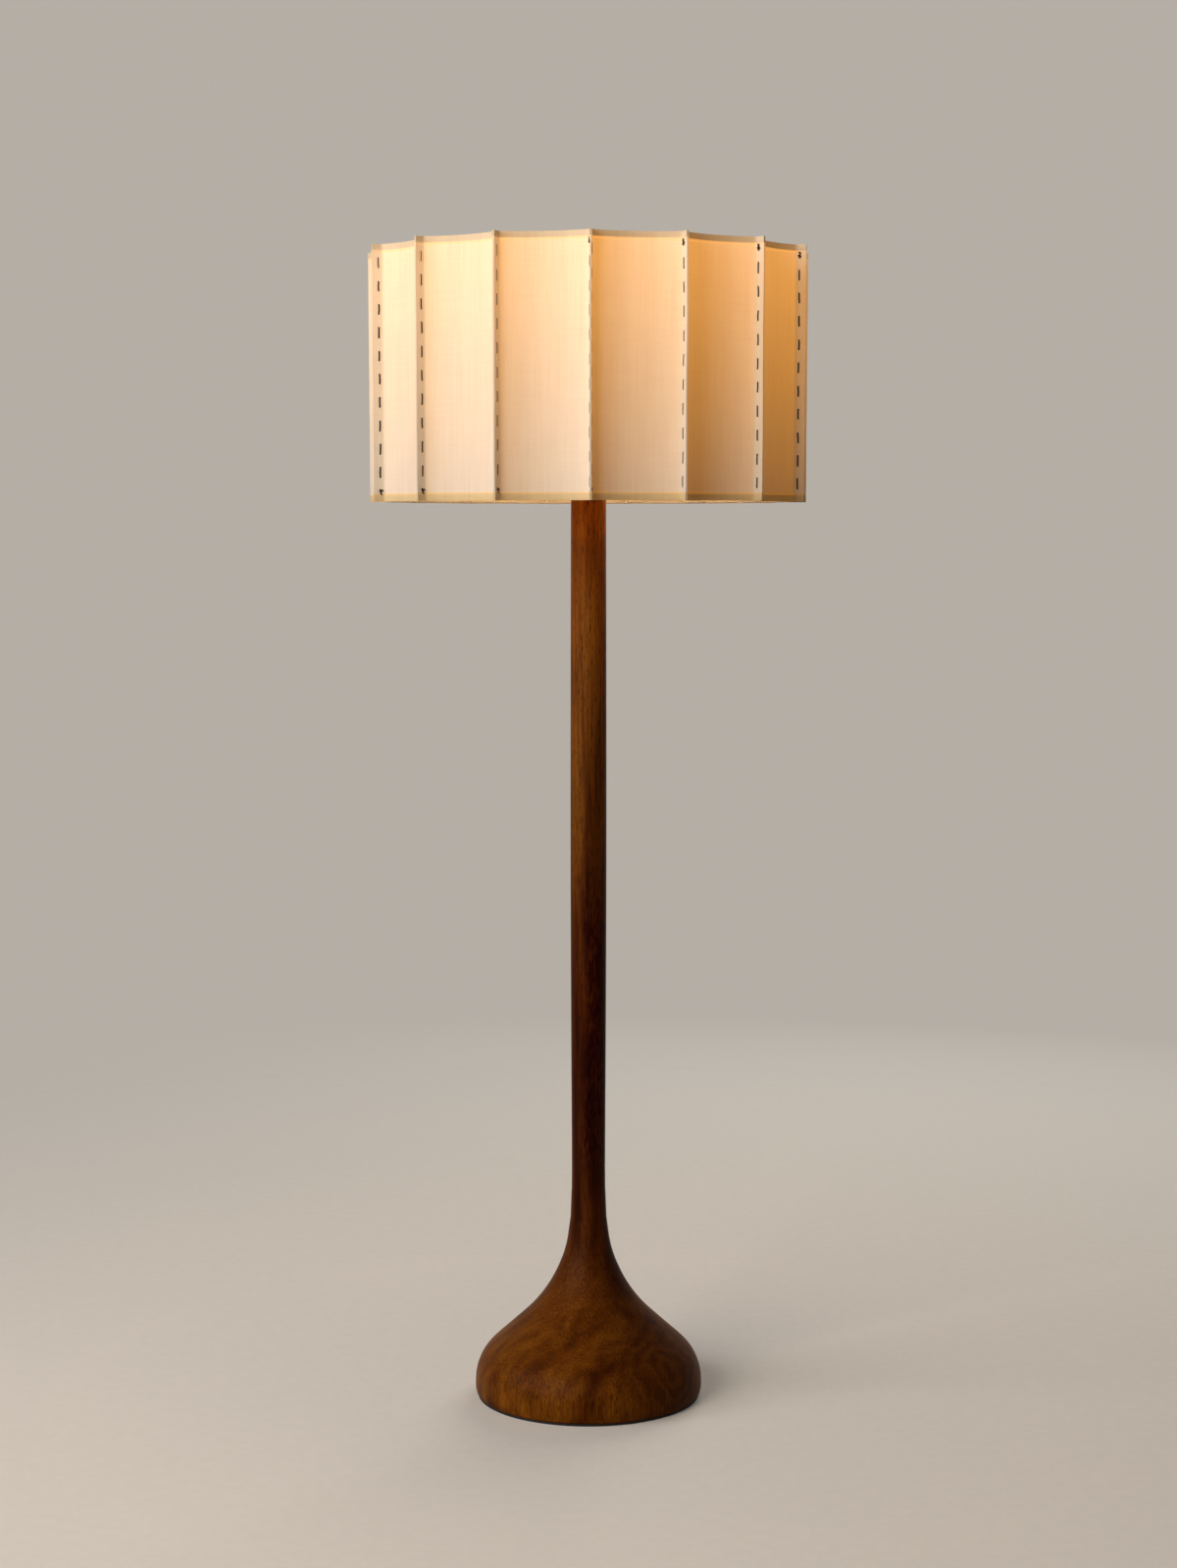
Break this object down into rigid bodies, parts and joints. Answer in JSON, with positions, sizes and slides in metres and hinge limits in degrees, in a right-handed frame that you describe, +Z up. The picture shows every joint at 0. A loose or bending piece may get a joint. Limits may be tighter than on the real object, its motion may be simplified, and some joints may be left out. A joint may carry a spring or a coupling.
{
  "type": "wooden floor lamp",
  "caption": "Floor lamp with a trumpet-shaped turned wooden stand and a fluted parchment drum shade laced along its seams.",
  "frame": {"origin": "centre of the round foot, on the floor", "axes": "+Z up along the pole, -Y towards the front of the lamp, +X to the lamp's right seen from the front"},
  "size_m": [0.583, 0.5803, 1.5],
  "materials": {
    "walnut": "oiled and waxed, satin",
    "felt": "black felt",
    "cast_iron": "as cast",
    "zinc_steel": "zinc plated",
    "rubber": "matt",
    "bakelite": "moulded, matt black",
    "brass": "plain",
    "bulb_glass": "frosted, lit",
    "frame_paint": "cream powder coat",
    "parchment": "translucent laid parchment",
    "lace_thread": "waxed dark brown cord"
  },
  "bodies": {
    "stand": {"foot_pad": "felt", "base": "walnut", "base_weight": "cast_iron", "base_nut": "zinc_steel", "cord_bushing": "rubber", "lamp_pipe": "zinc_steel", "pole": "walnut", "lampholder": "bakelite", "centre_contact": "brass"},
    "bulb": {"bulb": "bulb_glass"},
    "shade_nut": {"shade_nut": "bakelite"},
    "shade": {"shade_spider": "frame_paint", "shade_top_strip": "frame_paint", "shade_bottom_strip": "frame_paint", "shade_struts": "frame_paint", "shade_panel_01": "parchment", "shade_panel_02": "parchment", "shade_panel_03": "parchment", "shade_panel_04": "parchment", "shade_panel_05": "parchment", "shade_panel_06": "parchment", "shade_panel_07": "parchment", "shade_panel_08": "parchment", "shade_panel_09": "parchment", "shade_panel_10": "parchment", "shade_panel_11": "parchment", "shade_panel_12": "parchment", "shade_panel_13": "parchment", "shade_panel_14": "parchment", "shade_panel_15": "parchment", "seam_lacing_01": "lace_thread", "seam_lacing_02": "lace_thread", "seam_lacing_03": "lace_thread", "seam_lacing_04": "lace_thread", "seam_lacing_05": "lace_thread", "seam_lacing_06": "lace_thread", "seam_lacing_07": "lace_thread", "seam_lacing_08": "lace_thread", "seam_lacing_09": "lace_thread", "seam_lacing_10": "lace_thread", "seam_lacing_11": "lace_thread", "seam_lacing_12": "lace_thread", "seam_lacing_13": "lace_thread", "seam_lacing_14": "lace_thread", "seam_lacing_15": "lace_thread"}
  },
  "joints": [
    {"name": "bulb_lift", "type": "slide", "parent": "stand", "child": "bulb", "axis": [0, 0, 1], "range_m": [0, 0.03]},
    {"name": "shade_nut_turn", "type": "hinge", "parent": "stand", "child": "shade_nut", "pos_m": [0, 0, 1.2816], "axis": [0, 0, 1], "continuous": true},
    {"name": "shade_turn", "type": "hinge", "parent": "stand", "child": "shade", "pos_m": [0, 0, 1.277], "axis": [0, 0, 1], "continuous": true}
  ]
}
